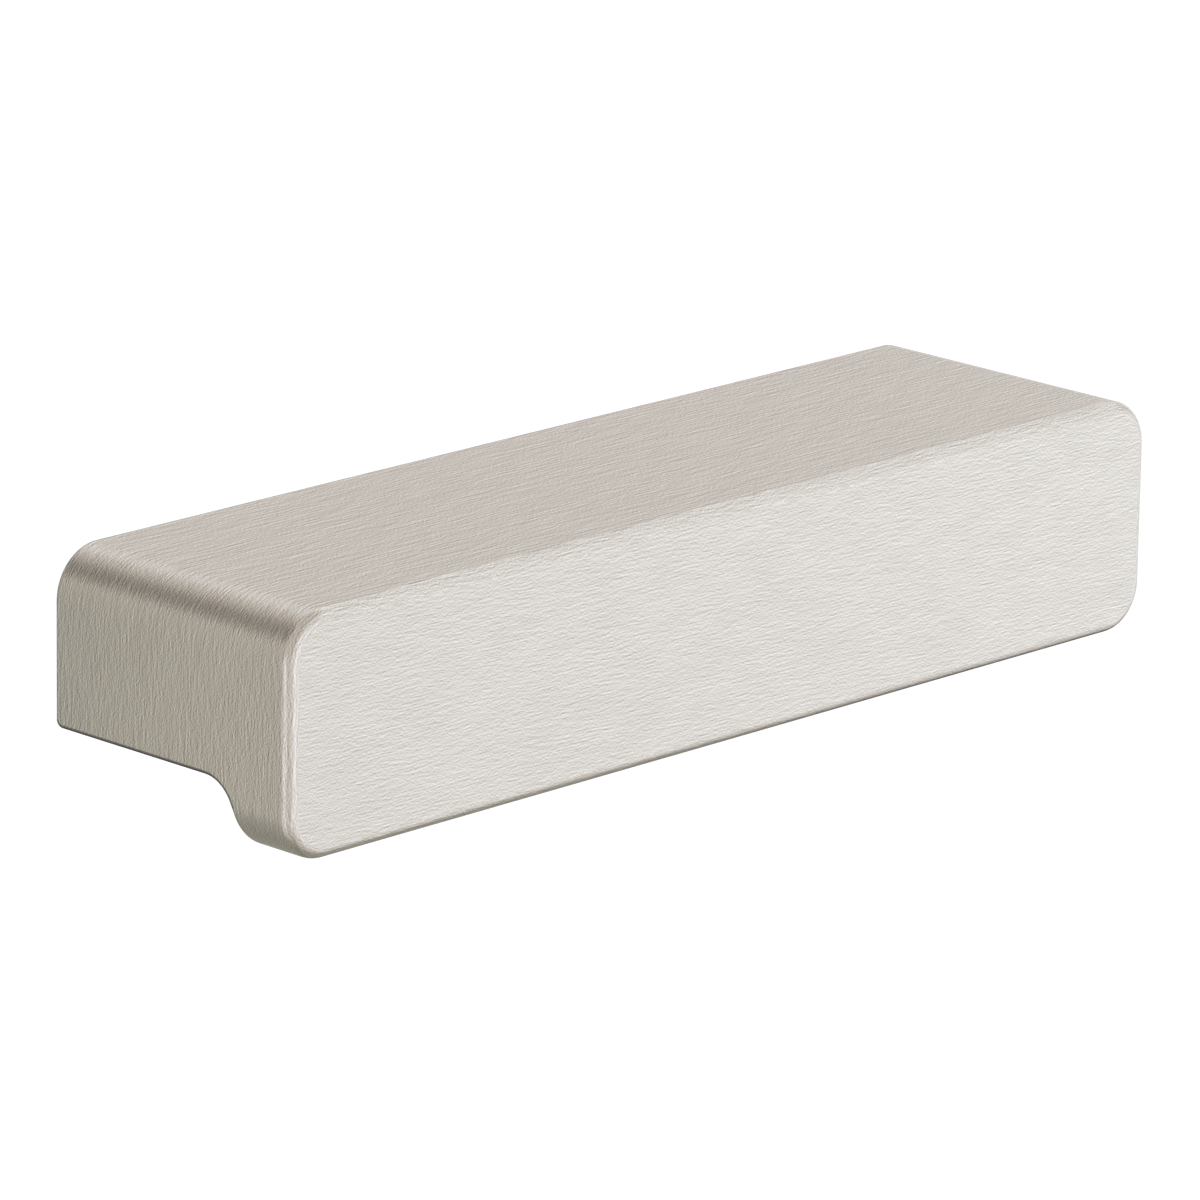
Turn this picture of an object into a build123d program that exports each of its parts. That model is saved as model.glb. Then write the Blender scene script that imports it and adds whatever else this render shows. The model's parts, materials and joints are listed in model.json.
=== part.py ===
"""Cabinet finger pull, cast in one piece: a block with a lip that hangs in front of a finger recess.

The frame has X along the pull, -Y out of the cabinet front and +Z up. The origin is the middle of the
mounting face, halfway between the two screw holes.
"""

import os
from math import radians, tan

from build123d import *

# The block that stands out from the cabinet front
length = 101.6
projection = 27.1
block_height = 14.8
top_corner_radius = 4.3

# The lip along the front, which the fingers reach behind
lip_drop = 5.7
lip_thickness = 5.9
lip_corner_radius = 4.1
lip_draft = 10.5
recess_radius = 3.3

# Rounds on the outside edges
front_round = 1.0
rear_lower_round = 0.7
edge_break = 0.2

# Two blind holes for number 8 machine screws
hole_spacing = 76.2
tap_drill_diameter = 3.45
hole_depth = 12.7

# Heights from the middle of the mounting face
top = block_height / 2
underside = -block_height / 2
lip_bottom = underside - lip_drop

# The lip's inner wall thins downwards by the draft, and is drawn on past the lip's bottom
lip_slope = tan(radians(lip_draft))
below_lip = lip_bottom - lip_drop
wall_at_lip_bottom = lip_thickness - projection
wall_at_underside = wall_at_lip_bottom + lip_drop * lip_slope
wall_below_lip = wall_at_lip_bottom - lip_drop * lip_slope

with BuildPart() as pull_body:
    # The front view is one rounded outline, extruded forwards from the mounting face
    with BuildSketch(Plane.XZ) as front_view:
        with Locations((0, (top + lip_bottom) / 2)):
            Rectangle(length, top - lip_bottom)
        fillet(front_view.vertices().group_by(Axis.Y)[-1], radius=top_corner_radius)
        fillet(front_view.vertices().group_by(Axis.Y)[0], radius=lip_corner_radius)
    extrude(amount=projection)

    # The finger recess is cut through from end to end, with a fillet where the lip leaves the block
    with BuildSketch(Plane.YZ) as recess_section:
        with BuildLine():
            Polyline(
                (projection, underside),
                (wall_at_underside, underside),
                (wall_below_lip, below_lip),
                (projection, below_lip),
                close=True,
            )
        make_face()
        recess_corner = recess_section.vertices().group_by(Axis.Y)[-1].sort_by(Axis.X)[0]
        fillet(recess_corner, radius=recess_radius)
    extrude(amount=length, both=True, mode=Mode.SUBTRACT)

    # The front outline is rounded all the way round
    front_face = pull_body.faces().sort_by(Axis.Y)[0]
    fillet(front_face.outer_wire().edges(), radius=front_round)

    # The lower rear edge is rounded, which leaves one smooth rim round the mounting face and the recess
    rear_edges = pull_body.edges().filter_by(Axis.X).group_by(Axis.Y)[-1].sort_by(Axis.Z)
    fillet(rear_edges[0], radius=rear_lower_round)

    # The rim is only broken: its tangent edges follow from the top one
    top_rear_edge = pull_body.edges().filter_by(Axis.X).group_by(Axis.Y)[-1].sort_by(Axis.Z)[-1]
    fillet(top_rear_edge, radius=edge_break)

    # Tapped holes, open on the mounting face
    mounting_plane = Plane(origin=(0, 0, 0), x_dir=(1, 0, 0), z_dir=(0, 1, 0))
    with Locations(mounting_plane):
        with GridLocations(hole_spacing, 0, 2, 1):
            Hole(radius=tap_drill_diameter / 2, depth=hole_depth)

pull_body.part.label = "pull_body"

os.makedirs("parts", exist_ok=True)
export_step(pull_body.part, "parts/pull_body.step")
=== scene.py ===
import json
from collections import namedtuple
from math import acos, asin, cos, hypot, pi, radians, sin, tan

import bpy
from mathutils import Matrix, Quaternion, Vector


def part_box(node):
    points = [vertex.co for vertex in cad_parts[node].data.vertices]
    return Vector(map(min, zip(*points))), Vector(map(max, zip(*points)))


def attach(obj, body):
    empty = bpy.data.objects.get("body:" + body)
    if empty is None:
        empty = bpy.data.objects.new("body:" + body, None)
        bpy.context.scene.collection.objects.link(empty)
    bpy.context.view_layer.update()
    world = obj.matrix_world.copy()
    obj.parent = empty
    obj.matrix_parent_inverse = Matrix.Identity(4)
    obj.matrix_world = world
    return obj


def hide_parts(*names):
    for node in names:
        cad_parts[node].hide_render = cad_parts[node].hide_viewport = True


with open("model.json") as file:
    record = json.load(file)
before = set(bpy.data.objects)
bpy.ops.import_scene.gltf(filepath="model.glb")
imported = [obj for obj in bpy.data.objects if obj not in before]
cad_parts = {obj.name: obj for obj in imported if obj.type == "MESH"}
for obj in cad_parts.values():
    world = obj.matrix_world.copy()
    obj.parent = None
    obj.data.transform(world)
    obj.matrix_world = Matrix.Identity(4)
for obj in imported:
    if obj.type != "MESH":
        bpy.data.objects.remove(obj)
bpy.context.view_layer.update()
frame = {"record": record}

# The pull itself, one zinc casting: a block with a lip below its front edge for the fingers.
# It is brushed along its length and round its ends and plated with satin nickel, and two screws
# through the drawer front hold its flat rear face.
MM = 0.001
low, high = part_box("pull_body")
half_length = high.x
front, rear = low.y, high.y
bottom, top = low.z, high.z
top_corner = 4.3 * MM
lip_corner = 4.1 * MM
lip_drop = 5.7 * MM
lip_thickness = 5.9 * MM
lip_draft = radians(10.5)
recess_radius = 3.3 * MM
front_round = 1.0 * MM
heel_round = 0.7 * MM
edge_break = 0.2 * MM
edge_margin = 0.12 * MM
front_band = 100 * MM
recess_band = 200 * MM
lip_band = 300 * MM
rear_band = 400 * MM
hole_band = 500 * MM

screw_holes = next(m for m in frame["record"]["mounts"] if m["name"] == "screw_holes")
hole_spacing = screw_holes["dims"]["spacing_x_mm"] * MM
hole_level = screw_holes["pos_m"][2]
thread_crest = screw_holes["dims"]["hole_r_mm"] * MM
thread_root = 2.08 * MM
hole_mouth = 2.45 * MM
hole_depth = 12.7 * MM

underside = bottom + lip_drop
fillet_z = underside - recess_radius
fillet_y = front + lip_thickness + (fillet_z - bottom) * tan(lip_draft) + recess_radius / cos(lip_draft)
fillet_foot = fillet_z + recess_radius * sin(lip_draft)
wall_length = (fillet_foot - bottom) / cos(lip_draft)


class Skin:
    """A closed mesh made face by face, with a normal and a brushing coordinate at each corner."""

    def __init__(self):
        self.points = []
        self.normals = []
        self.bands = []
        self.faces = []
        self.edge_shade = []

    def vertex(self, point, normal, band):
        self.points.append(point)
        self.normals.append(normal.normalized())
        self.bands.append(band)
        return len(self.points) - 1

    def face(self, vertices, bands=None, normals=None, edge_shade=0):
        """Adds a face, wound so that it looks the way its corners' normals do."""
        bands = bands or [self.bands[v] for v in vertices]
        normals = normals or [self.normals[v] for v in vertices]
        corners = list(zip(vertices, bands, normals))
        first = self.points[vertices[0]]
        turn = Vector()
        for a, b in zip(vertices[1:], vertices[2:]):
            turn += (self.points[a] - first).cross(self.points[b] - first)
        if turn.dot(sum(normals, Vector())) < 0:
            corners.reverse()
        self.faces.append(corners)
        self.edge_shade.append(edge_shade)

    def flat(self, vertices, across, shift):
        """Adds a face brushed along the pull, with its other coordinate along the axis named."""
        places = [self.points[v] for v in vertices]
        self.face(vertices, [(p.x, getattr(p, across) + shift) for p in places])

    def lengthwise(self, vertices, shift):
        """Adds a face brushed along the pull that keeps its corners' own coordinate across."""
        self.face(vertices, [(self.points[v].x, self.bands[v][1] + shift) for v in vertices])

    def object(self, name):
        mesh = bpy.data.meshes.new(name)
        mesh.from_pydata(self.points, [], [[c[0] for c in corners] for corners in self.faces])
        corners = [c for face in self.faces for c in face]
        brush = mesh.uv_layers.new(name="brush")
        brush.uv.foreach_set("vector", [value for c in corners for value in c[1]])
        mesh.polygons.foreach_set("use_smooth", [True] * len(mesh.polygons))
        mesh.normals_split_custom_set([c[2] for c in corners])
        # A face attribute holding each face's share of the painted shade that makes the rear edges' dark
        # line.
        mesh.attributes.new("edge_shade", "FLOAT", "FACE").data.foreach_set("value", self.edge_shade)
        made = bpy.data.objects.new(name, mesh)
        bpy.context.scene.collection.objects.link(made)
        return made


Station = namedtuple("Station", "point side rear girth")


def recess(z):
    """Depth, normal and girth of the finger recess at a height from the lip's foot to the underside."""
    if z <= fillet_foot:
        y = front + lip_thickness + (z - bottom) * tan(lip_draft)
        return y, Vector((0, cos(lip_draft), -sin(lip_draft))), (z - bottom) / cos(lip_draft)
    turn = acos(min(1, (z - fillet_z) / recess_radius))
    girth = wall_length + recess_radius * (pi / 2 - lip_draft - turn)
    return fillet_y - recess_radius * sin(turn), Vector((0, sin(turn), -cos(turn))), girth


def recess_station(x, z, side):
    y, normal, girth = recess(z)
    return Station(Vector((x, y, z)), side, normal, girth)


def corner(centre_x, centre_z, radius, turns):
    """Points of a corner of the front outline with their outward normals."""
    normals = [Vector((cos(t), 0, sin(t))) for t in turns]
    return [(Vector((centre_x, 0, centre_z)) + radius * n, n) for n in normals]


def spread(start, stop, steps):
    return [start + (stop - start) * i / steps for i in range(steps + 1)]


end = Vector((-1, 0, 0))
back = Vector((0, 1, 0))
lip_centre = bottom + lip_corner
tangent_turn = pi - asin((fillet_foot - lip_centre) / lip_corner)
wall_end = 18
lip_turns = spread(1.5 * pi, tangent_turn, wall_end) + spread(tangent_turn, pi, 6)[1:]
lip_outline = corner(lip_corner - half_length, lip_centre, lip_corner, lip_turns)
shoulder = corner(top_corner - half_length, top - top_corner, top_corner, spread(pi, pi / 2, 28))

rim = [recess_station(p.x, p.z, n) for p, n in lip_outline]
lip_end = len(rim) - 1
for turn in spread(acos((lip_centre - fillet_z) / recess_radius), 0, 14)[1:]:
    rim.append(recess_station(-half_length, fillet_z + recess_radius * cos(turn), end))
heel_start = wall_length + recess_radius * (pi / 2 - lip_draft) + rear - heel_round - fillet_y
for turn in spread(0, pi / 2, 10):
    y = rear - heel_round * (1 - sin(turn))
    z = underside + heel_round * (1 - cos(turn))
    normal = Vector((0, sin(turn), -cos(turn)))
    rim.append(Station(Vector((-half_length, y, z)), end, normal, heel_start + heel_round * turn))
heel_end = len(rim) - 1
rim.append(Station(Vector((-half_length, rear, hole_level)), end, back, 0))
level = len(rim) - 1
rim += [Station(Vector((p.x, rear, p.z)), n, back, 0) for p, n in shoulder]


def runs(points):
    """Distance of each point round the front outline, from the middle of the top, minus on this side."""
    found = [points[-1].x]
    for a, b in zip(points[-2::-1], points[:0:-1]):
        found.append(found[-1] - hypot(a.x - b.x, a.z - b.z))
    return found[::-1]


skin = Skin()
Half = namedtuple("Half", "front rim")
FRONT_STEPS = 12
RIM_STEPS = 6


def half(sign):
    """Vertices of one end: columns over the front round and over the broken edge of the rear rim,
    where the first of each column lies a margin in from the edge."""
    flip = Vector((sign, 1, 1))
    fronts = []
    outline = lip_outline + shoulder
    for (point, normal), run in zip(outline, runs([p for p, n in outline])):
        column = []
        for turn in spread(0, pi / 2, FRONT_STEPS):
            place = point - normal * front_round * (1 - sin(turn))
            place.y = front + front_round * (1 - cos(turn))
            facing = normal * sin(turn) - back * cos(turn)
            depth = front + front_round * (1 - pi / 2 + turn)
            column.append(skin.vertex(place * flip, facing * flip, (run * sign, depth)))
        fronts.append(column)
    rims = []
    for s, run in zip(rim, runs([s.point for s in rim])):
        centre = s.point - (s.side + s.rear) * edge_break / (1 + s.side.dot(s.rear))
        apart = s.side.angle(s.rear)
        inward = (s.side * s.side.dot(s.rear) - s.rear).normalized()
        place = centre + s.side * edge_break + inward * edge_margin
        place.x = max(place.x, -half_length)
        column = [skin.vertex(place * flip, s.side * flip, (run * sign, s.point.y - edge_margin))]
        for share in spread(0, 1, RIM_STEPS):
            facing = s.side.slerp(s.rear, share)
            band = (run * sign, s.point.y + edge_break * apart * share)
            column.append(skin.vertex((centre + facing * edge_break) * flip, facing * flip, band))
        rims.append(column)
    return Half(fronts, rims)


def strips(columns, edge_shade=(0,) * FRONT_STEPS):
    """Adds the faces between columns of vertices, with a share of painted edge shade for each step along
    them.
    """
    for first, second in zip(columns, columns[1:]):
        for k, share in zip(range(len(first) - 1), edge_shade):
            skin.face([first[k], first[k + 1], second[k + 1], second[k]], edge_shade=share)


# A painted dark line along the rear edges: painted shade, strongest where the recess runs out through the
# ends.
rim_shade = (0.16,) + (0.3,) * RIM_STEPS
recess_shade = (0.7,) + (0.95,) * RIM_STEPS
shade_start = lip_end - 3
left, right = half(1), half(-1)
lip_columns = len(lip_outline)
for side in (left, right):
    strips(side.front)
    strips(side.rim[:shade_start + 1], rim_shade)
    strips(side.rim[shade_start:heel_end + 1], recess_shade)
    strips(side.rim[heel_end:], rim_shade)
    strips([(f[-1], r[0]) for f, r in zip(side.front[:lip_columns], side.rim)])
    strips([(f[-1], r[0]) for f, r in zip(side.front[lip_columns:], side.rim[level + 1:])])
    front_edge = [side.front[lip_columns - 1][-1], side.front[lip_columns][-1]]
    skin.face(front_edge + [r[0] for r in side.rim[level + 1:lip_end - 1:-1]])

# The faces that run from end to end: front, top, lip, recess and rear face, each with streaks of its own.
skin.flat([c[0] for c in left.front] + [c[0] for c in right.front[::-1]], "z", front_band)
strips([left.front[-1], right.front[-1]])
strips([left.rim[-1], right.rim[-1]], rim_shade)
skin.face([left.front[-1][-1], right.front[-1][-1], right.rim[-1][0], left.rim[-1][0]])
for columns in ((left.front[0], right.front[0]), (left.rim[0], right.rim[0])):
    for k in range(len(columns[0]) - 1):
        skin.lengthwise([columns[0][k], columns[0][k + 1], columns[1][k + 1], columns[1][k]], lip_band)
skin.lengthwise([left.front[0][-1], right.front[0][-1], right.rim[0][0], left.rim[0][0]], lip_band)


def across(first, last):
    """Adds the faces of the recess between two stations, brushed along the pull."""
    for i in range(first, last):
        vertices = [left.rim[i][-1], left.rim[i + 1][-1], right.rim[i + 1][-1], right.rim[i][-1]]
        girths = [rim[i].girth, rim[i + 1].girth, rim[i + 1].girth, rim[i].girth]
        skin.face(vertices, [(skin.points[v].x, g + recess_band) for v, g in zip(vertices, girths)])


wall = range(wall_end + 1)
vertices = [left.rim[i][-1] for i in wall] + [right.rim[i][-1] for i in reversed(wall)]
girths = [rim[i].girth for i in wall] + [rim[i].girth for i in reversed(wall)]
skin.face(vertices, [(skin.points[v].x, g + recess_band) for v, g in zip(vertices, girths)])
across(wall_end, heel_end)

HOLE_STEPS = 64
holes = []
for centre_x in (-hole_spacing / 2, hole_spacing / 2):
    rays = [Vector((cos(t), 0, sin(t))) for t in spread(0, 2 * pi, HOLE_STEPS)[:-1]]
    centre = Vector((centre_x, rear, hole_level))
    chamfer = hole_mouth - thread_root
    rings = []
    for radius, depth in ((hole_mouth, 0), (thread_root, chamfer), (thread_root, hole_depth)):
        rings.append([skin.vertex(centre + radius * r - back * depth, back, (0, depth)) for r in rays])
    for (outer, inner), slope in zip(zip(rings, rings[1:]), (1, 0)):
        for i in range(HOLE_STEPS):
            j = (i + 1) % HOLE_STEPS
            vertices = [outer[i], outer[j], inner[j], inner[i]]
            facings = [(slope * back - rays[k]).normalized() for k in (i, j, j, i)]
            turns = [thread_root * 2 * pi * k / HOLE_STEPS for k in (i, i + 1, i + 1, i)]
            skin.face(vertices, [(t, skin.bands[v][1]) for t, v in zip(turns, vertices)], facings)
    skin.flat(rings[-1], "z", hole_band)
    holes.append(rings[0])
upper = [left.rim[i][-1] for i in range(level, len(rim))]
upper += [right.rim[i][-1] for i in range(len(rim) - 1, level - 1, -1)]
lower = [left.rim[level][-1], left.rim[heel_end][-1], right.rim[heel_end][-1], right.rim[level][-1]]
for ring in reversed(holes):
    upper += ring[:HOLE_STEPS // 2 + 1]
    lower += [ring[0]] + ring[:HOLE_STEPS // 2 - 1:-1]
skin.flat(upper, "z", rear_band)
skin.flat(lower, "z", rear_band)
casting = skin.object("pull_casting")


class Value:
    """One socket of a node tree: arithmetic on it adds the Math nodes that work it out."""

    def __init__(self, tree, socket):
        self.tree = tree
        self.socket = socket

    def node(self, kind, settings, values, output=0):
        """Adds any other node: its settings first, then the values or links of its sockets."""
        made = self.tree.nodes.new(kind)
        for name, setting in settings.items():
            setattr(made, name, setting)
        for name, value in values.items():
            if isinstance(value, Value):
                self.tree.links.new(value.socket, made.inputs[name])
            else:
                made.inputs[name].default_value = value
        return Value(self.tree, made.outputs[output])

    def math(self, operation, first, second):
        return self.node("ShaderNodeMath", {"operation": operation}, {0: first, 1: second})

    def __add__(self, other):
        return self.math("ADD", self, other)

    def __radd__(self, other):
        return self.math("ADD", other, self)

    def __sub__(self, other):
        return self.math("SUBTRACT", self, other)

    def __rsub__(self, other):
        return self.math("SUBTRACT", other, self)

    def __mul__(self, other):
        return self.math("MULTIPLY", self, other)

    def __rmul__(self, other):
        return self.math("MULTIPLY", other, self)

    def feeds(self, shader, name):
        self.tree.links.new(self.socket, shader.inputs[name])


def metal(name, roughness):
    """A metal material's shader and a first socket to build its nodes from."""
    material = bpy.data.materials.new(name)
    material.use_nodes = True
    tree = material.node_tree
    shader = tree.nodes["Principled BSDF"]
    shader.inputs["Metallic"].default_value = 1
    shader.inputs["Roughness"].default_value = roughness
    return material, shader, Value(tree, shader.outputs[0])


# Tones of the streaks: besides their own colour, they carry the streaks' painted shade and painted
# highlight.
streak_shade_tone = (0.176, 0.146, 0.114, 1)
streak_highlight_tone = (0.755, 0.681, 0.599, 1)
# The dark tone of the painted shade along the rear edges.
edge_shade_tone = (0.04, 0.04, 0.035, 1)
edge_shade_share = 0.92
satin, shader, start = metal("satin_nickel_brushed", 0.34)
brush = start.node("ShaderNodeUVMap", {"uv_map": "brush"}, {})
along = brush.node("ShaderNodeSeparateXYZ", {}, {"Vector": brush}, "X")
over = Value(along.tree, along.socket.node.outputs["Y"])
place = brush.node("ShaderNodeCombineXYZ", {}, {"X": along * 220, "Y": over * 500, "Z": 0.5})
bend = brush.node("ShaderNodeTexNoise", {}, {"Vector": place, "Scale": 1, "Detail": 1}, "Fac")
bent = over + (bend - 0.5) * (0.04 * MM)


def streaks(*sets):
    """Scratch marks from several sets, each with a length and width in millimetres, a slant and a share,
    with painted light along one edge and painted shade along the other, as if lit from one side. Gives
    that and their height."""
    edges, heights = 0, 0
    for layer, (length, width, slant, share) in enumerate(sets):
        line = (bent + along * slant) * (1 / (width * MM))
        sides = []
        for shift in (0.3, -0.3):
            values = {"X": along * (1 / (length * MM)), "Y": line + shift, "Z": 7.3 * layer + width}
            place = brush.node("ShaderNodeCombineXYZ", {}, values)
            values = {"Vector": place, "Scale": 1, "Detail": 1, "Roughness": 0.5}
            sides.append(brush.node("ShaderNodeTexNoise", {}, values, "Fac"))
        edges = edges + (sides[0] - sides[1]) * share
        heights = heights + sides[0] * share
    return edges, heights


# One pattern for the front, recess and rounds, a longer one for the top, and one for the ends.
edge, mark = streaks((1.9, 0.172, 0.02, 0.33), (1.05, 0.162, -0.03, 0.27), (0.22, 0.145, 0, 0.52))
edge_top, mark_top = streaks((4.0, 0.26, 0.009, 0.36), (1.9, 0.24, -0.014, 0.32), (0.23, 0.22, 0, 0.34))
edge_end, mark_end = streaks((1.9, 0.2, 0.01, 0.33), (0.9, 0.17, -0.015, 0.26), (0.17, 0.15, 0, 0.56))
normal = brush.node("ShaderNodeTexCoord", {}, {}, "Normal")
upward = brush.node("ShaderNodeSeparateXYZ", {}, {"Vector": normal}, "Z")
outward = Value(upward.tree, upward.socket.node.outputs["Y"])
outward = outward.node("ShaderNodeMath", {"operation": "ABSOLUTE"}, {0: outward})
sideways = Value(upward.tree, upward.socket.node.outputs["X"])
sideways = sideways.node("ShaderNodeMath", {"operation": "ABSOLUTE"}, {0: sideways})
values = {"Value": upward, "From Min": 0.93, "From Max": 0.995}
on_top = brush.node("ShaderNodeMapRange", {"interpolation_type": "SMOOTHSTEP"}, values)
values = {"Value": sideways, "From Min": 0.9, "From Max": 0.995}
on_end = brush.node("ShaderNodeMapRange", {"interpolation_type": "SMOOTHSTEP"}, values)
# The painted light and shade of the streaks is scaled by which way the surface faces.
edge = edge * (1.85 - outward * 0.77)
edge = edge + (edge_top * 2.05 - edge * 0.8) * on_top + (edge_end * 1.52 - edge) * on_end
mark = mark + (mark_top - mark) * on_top + (mark_end - mark) * on_end
place = brush.node("ShaderNodeCombineXYZ", {}, {"X": along * 260, "Y": over * 600, "Z": 3.5})
cloud = brush.node("ShaderNodeTexNoise", {}, {"Vector": place, "Scale": 1, "Detail": 3}, "Fac")
# The base colour is the streaks' own tone and a faint random cloud, with painted light along one edge of
# each streak and painted shade along the other.
share = 0.45 + edge + cloud * 0.1
tone = brush.node(
    "ShaderNodeMix",
    {"data_type": "RGBA"},
    {"Factor": share, "A": streak_shade_tone, "B": streak_highlight_tone},
    "Result",
)
# The rear edges carry painted shade: the dark tone is mixed into the base colour there, and those edges
# are made less metallic so that they stay dark.
edge_shade = brush.node("ShaderNodeAttribute", {"attribute_name": "edge_shade"}, {}, "Fac")
tone = brush.node(
    "ShaderNodeMix",
    {"data_type": "RGBA"},
    {"Factor": edge_shade * edge_shade_share, "A": tone, "B": edge_shade_tone},
    "Result",
)
tone.feeds(shader, "Base Color")
(1 - edge_shade * edge_shade_share).feeds(shader, "Metallic")
shader.inputs["Specular IOR Level"].default_value = 0
(0.24 + mark * 0.22).feeds(shader, "Roughness")
relief = brush.node("ShaderNodeBump", {}, {"Height": mark, "Strength": 1, "Distance": 0.02 * MM})
relief.feeds(shader, "Normal")

casting.data.materials.append(satin)
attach(casting, "root")
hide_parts("pull_body")

# The threads of the two blind screw holes in the rear face, cut into the casting after plating,
# so they are bare bright metal. One ridge winds down each hole from just inside its mouth.
thread_pitch = 0.794 * MM
thread_turns = 14.5
cut, shader, start = metal("cut_thread", 0.3)
place = start.node("ShaderNodeTexCoord", {}, {}, "Object")
chatter = start.node("ShaderNodeTexNoise", {}, {"Vector": place, "Scale": 9000, "Detail": 2}, "Fac")
tone = start.node(
    "ShaderNodeMix",
    {"data_type": "RGBA"},
    {"Factor": chatter, "A": (0.41, 0.39, 0.37, 1), "B": (0.64, 0.615, 0.58, 1)},
    "Result",
)
tone.feeds(shader, "Base Color")
(0.2 + chatter * 0.25).feeds(shader, "Roughness")

tree = bpy.data.node_groups.new("screw_threads", "GeometryNodeTree")
sizes = {
    "Turns": thread_turns,
    "Pitch": thread_pitch,
    "Root Radius": thread_root,
    "Crest Radius": thread_crest,
    "Hole Spacing": hole_spacing,
    "Level": hole_level,
    "First Turn": -0.75 * MM,
}
sockets = {}
for name in sizes:
    sockets[name] = tree.interface.new_socket(name, in_out="INPUT", socket_type="NodeSocketFloat")
sockets["Metal"] = tree.interface.new_socket("Metal", in_out="INPUT", socket_type="NodeSocketMaterial")
tree.interface.new_socket("Geometry", in_out="OUTPUT", socket_type="NodeSocketGeometry")
entry = tree.nodes.new("NodeGroupInput")
given = {name: Value(tree, entry.outputs[name]) for name in sockets}
start = given["Turns"]
ridge = given["Root Radius"] - given["Crest Radius"] + 0.06 * MM
middle = given["Crest Radius"] + ridge * 0.5
helix = start.node(
    "GeometryNodeCurveSpiral",
    {},
    {
        "Resolution": 48,
        "Rotations": given["Turns"],
        "Start Radius": middle,
        "End Radius": middle,
        "Height": given["Turns"] * given["Pitch"],
    },
)
helix = start.node("GeometryNodeSetCurveNormal", {"mode": "Z_UP"}, {"Curve": helix})
profile = start.node(
    "GeometryNodeCurvePrimitiveQuadrilateral",
    {"mode": "TRAPEZOID"},
    {
        "Bottom Width": given["Pitch"] * 0.86,
        "Top Width": given["Pitch"] * 0.2,
        "Height": ridge,
        "Offset": 0,
    },
)
profile = start.node("GeometryNodeTransform", {}, {"Geometry": profile, "Rotation": (0, 0, pi / 2)})
thread = start.node(
    "GeometryNodeCurveToMesh", {}, {"Curve": helix, "Profile Curve": profile, "Fill Caps": True}
)
inset = start.node("ShaderNodeCombineXYZ", {}, {"X": 0, "Y": given["First Turn"], "Z": 0})
thread = start.node(
    "GeometryNodeTransform", {}, {"Geometry": thread, "Translation": inset, "Rotation": (pi / 2, 0, 0)}
)
first_hole = start.node(
    "ShaderNodeCombineXYZ", {}, {"X": given["Hole Spacing"] * -0.5, "Z": given["Level"]}
)
next_hole = start.node("ShaderNodeCombineXYZ", {}, {"X": given["Hole Spacing"]})
places = start.node(
    "GeometryNodeMeshLine", {}, {"Count": 2, "Start Location": first_hole, "Offset": next_hole}
)
threads = start.node("GeometryNodeInstanceOnPoints", {}, {"Points": places, "Instance": thread})
threads = start.node("GeometryNodeRealizeInstances", {}, {"Geometry": threads})
threads = start.node("GeometryNodeSetMaterial", {}, {"Geometry": threads, "Material": given["Metal"]})
exit_node = tree.nodes.new("NodeGroupOutput")
tree.links.new(threads.socket, exit_node.inputs["Geometry"])

screw_threads = bpy.data.objects.new("screw_threads", bpy.data.meshes.new("screw_threads"))
bpy.context.scene.collection.objects.link(screw_threads)
maker = screw_threads.modifiers.new("threads", "NODES")
maker.node_group = tree
for name, value in sizes.items():
    maker[sockets[name].identifier] = value
maker[sockets["Metal"].identifier] = cut
settled = screw_threads.evaluated_get(bpy.context.evaluated_depsgraph_get())
made = bpy.data.meshes.new_from_object(settled)
screw_threads.modifiers.clear()
screw_threads.data = made
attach(screw_threads, "root")

# The stage: a wide white floor well below the pull, which hangs free as in a catalogue picture.
# Seen from below the floor is clear, so that the underside can be looked at.
floor_level = bottom - 500 * MM
floor_radius = 6
FLOOR_STEPS = 96
floor = bpy.data.objects.new("floor", bpy.data.meshes.new("floor"))
turns = spread(0, 2 * pi, FLOOR_STEPS)[:-1]
ring = [(floor_radius * cos(t), floor_radius * sin(t), floor_level) for t in turns]
floor.data.from_pydata(ring, [], [list(range(FLOOR_STEPS))])
bpy.context.scene.collection.objects.link(floor)
paper = bpy.data.materials.new("white_paper")
paper.use_nodes = True
tree = paper.node_tree
tree.nodes.clear()
output = tree.nodes.new("ShaderNodeOutputMaterial")
start = Value(tree, tree.nodes.new("ShaderNodeLightPath").outputs["Is Camera Ray"])
path = start.socket.node.outputs
seen = start + Value(tree, path["Is Glossy Ray"]) + Value(tree, path["Is Transmission Ray"])
lit = start.node("ShaderNodeBsdfDiffuse", {}, {"Color": (0.3, 0.3, 0.3, 1)})
white = start.node("ShaderNodeEmission", {}, {"Color": (0.954, 0.976, 1, 1), "Strength": seen * 0.8})
shown = start.node("ShaderNodeAddShader", {}, {0: lit, 1: white})
clear = start.node("ShaderNodeBsdfTransparent", {}, {})
under = start.node("ShaderNodeNewGeometry", {}, {}, "Backfacing")
sheet = start.node("ShaderNodeMixShader", {}, {0: under, 1: shown, 2: clear})
sheet.feeds(output, "Surface")
floor.data.materials.append(paper)

# The light: a white surround, a broad soft box in front, smaller ones to the right, above, behind and
# beside it, and cards that the metal mirrors, behind the left end and below, as a photographer sets
# them. The camera sees neither boxes nor cards.
lamp_tint = (0.648, 0.8, 1)
world = bpy.data.worlds.new("surround")
bpy.context.scene.world = world
world.use_nodes = True
world.node_tree.nodes["Background"].inputs["Color"].default_value = (1, 1, 1, 1)
world.node_tree.nodes["Background"].inputs["Strength"].default_value = 1


def facing(location, aim):
    return (aim - location).to_track_quat("-Z", "Y")


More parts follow.
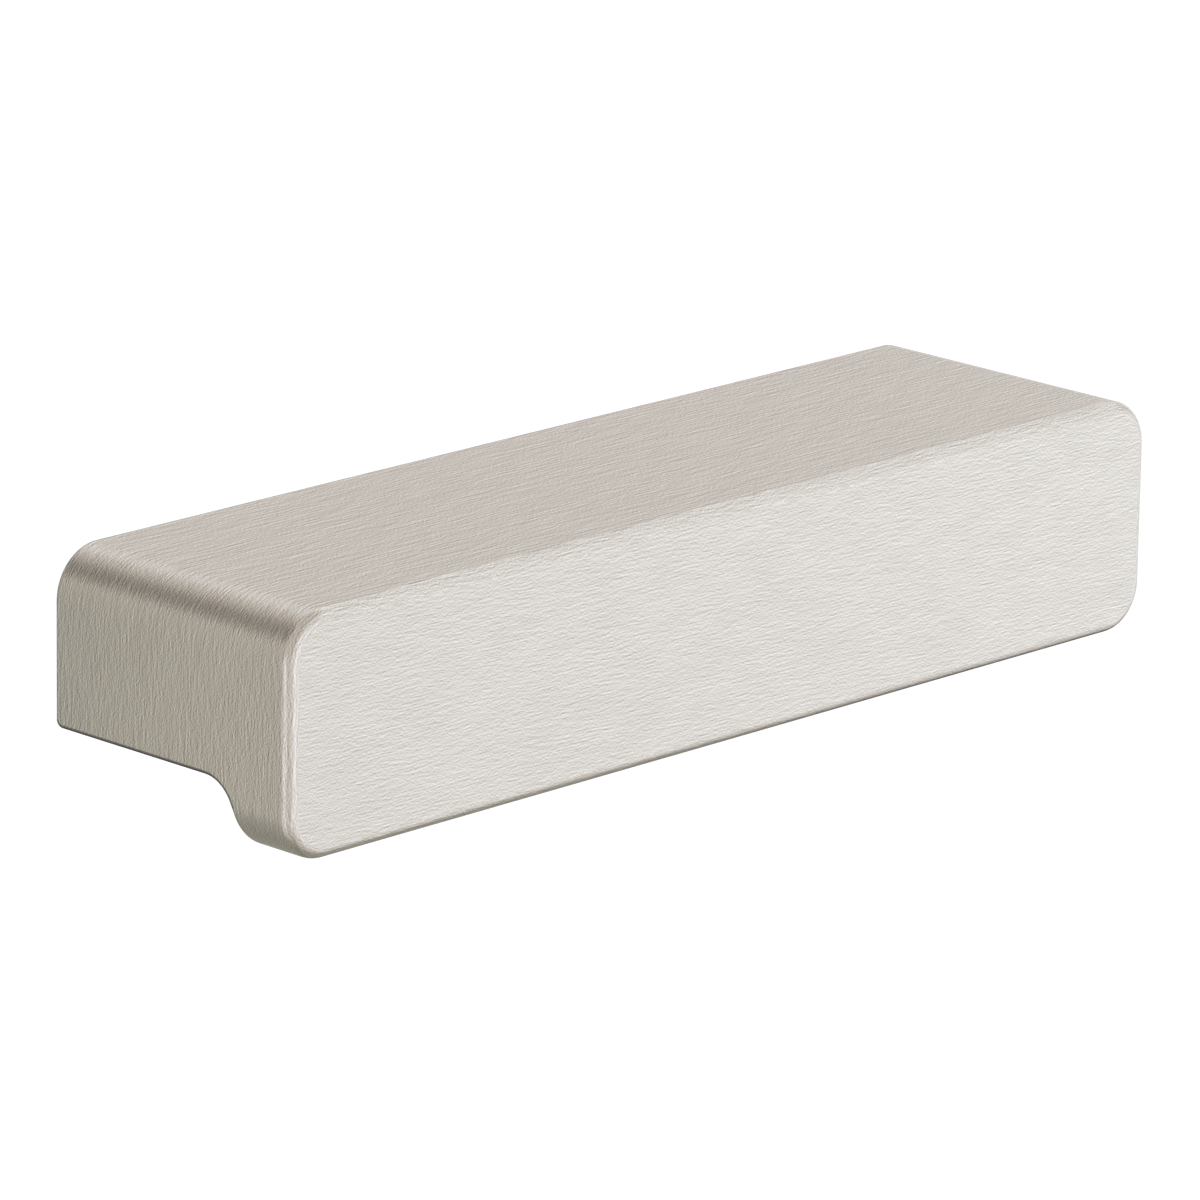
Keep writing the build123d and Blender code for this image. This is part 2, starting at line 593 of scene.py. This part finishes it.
def softbox(name, location, width, height, radiance):
    lamp = bpy.data.lights.new(name, "AREA")
    lamp.shape = "RECTANGLE"
    lamp.size = width
    lamp.size_y = height
    lamp.energy = radiance * pi * width * height
    lamp.color = lamp_tint
    made = bpy.data.objects.new(name, lamp)
    made.location = location
    made.rotation_mode = "QUATERNION"
    made.rotation_quaternion = facing(Vector(location), Vector((0, front / 2, 0)))
    made.visible_camera = False
    bpy.context.scene.collection.objects.link(made)


def card(name, location, width, height, colour, aim=(0, front / 2, 0)):
    mesh = bpy.data.meshes.new(name)
    x, y = width / 2, height / 2
    mesh.from_pydata([(-x, -y, 0), (x, -y, 0), (x, y, 0), (-x, y, 0)], [], [(0, 1, 2, 3)])
    made = bpy.data.objects.new(name, mesh)
    made.location = location
    made.rotation_mode = "QUATERNION"
    made.rotation_quaternion = facing(Vector(location), Vector(aim))
    felt = bpy.data.materials.new(name)
    felt.use_nodes = True
    felt.node_tree.nodes["Principled BSDF"].inputs["Base Color"].default_value = (*colour, 1)
    felt.node_tree.nodes["Principled BSDF"].inputs["Roughness"].default_value = 1
    mesh.materials.append(felt)
    made.visible_camera = False
    made.visible_diffuse = False
    made.visible_shadow = False
    bpy.context.scene.collection.objects.link(made)


softbox("key", (0.233, -0.87, 0.10), 1.8, 1.3, 0.708)
softbox("front", (0.05, -0.95, -0.10), 0.55, 0.9, 0.562)
softbox("fill", (0.80, -0.35, -0.20), 0.5, 0.7, 0.865)
softbox("overhead", (0.59, -0.04, 0.60), 1.2, 0.6, 0.745)
softbox("right", (0.79, 0.12, 0.0), 0.32, 0.5, 0.72)
softbox("rear", (0.25, 0.47, 0.55), 0.35, 0.3, 0.713)
softbox("side", (-0.67, -0.03, -0.19), 0.24, 0.6, 1.17)
card("card_dark", (-0.228, 0.335, 0.294), 0.26, 0.24, (0.32, 0.31, 0.265))
card("card_grey", (-0.364, 0.434, -0.13), 0.42, 0.6, (0.853, 0.833, 0.743))
card("card_near", (-0.081, 0.081, -0.035), 0.07, 0.12, (0.5, 0.5, 0.45), (0.609, -0.589, 0.242))
card("card_below", (-0.005, 0.02, -0.14), 0.29, 0.30, (0.40, 0.39, 0.34))
card("card_under", (0.19, 0.155, -0.165), 0.40, 0.35, (0.04, 0.04, 0.04), (0.19, 0.155, 1))

# The camera: a long lens from the left and above, at the place that fits the picture's outline.
azimuth, elevation, roll = radians(-45.86), radians(16.09), radians(0.93)
sight = Vector((sin(azimuth) * cos(elevation), -cos(azimuth) * cos(elevation), sin(elevation)))
aim = Vector((-4.074, -15.24, -2.686)) * MM
distance = 713.48 * MM
lens = bpy.data.cameras.new("camera")
lens.sensor_width = 36
lens.lens = 259.16
lens.clip_start = 0.05
lens.clip_end = 20
camera = bpy.data.objects.new("camera", lens)
camera.location = aim + sight * distance
camera.rotation_mode = "QUATERNION"
camera.rotation_quaternion = (-sight).to_track_quat("-Z", "Y") @ Quaternion((0, 0, 1), roll)
bpy.context.scene.collection.objects.link(camera)
bpy.context.scene.camera = camera
bpy.context.scene.view_settings.view_transform = "Standard"
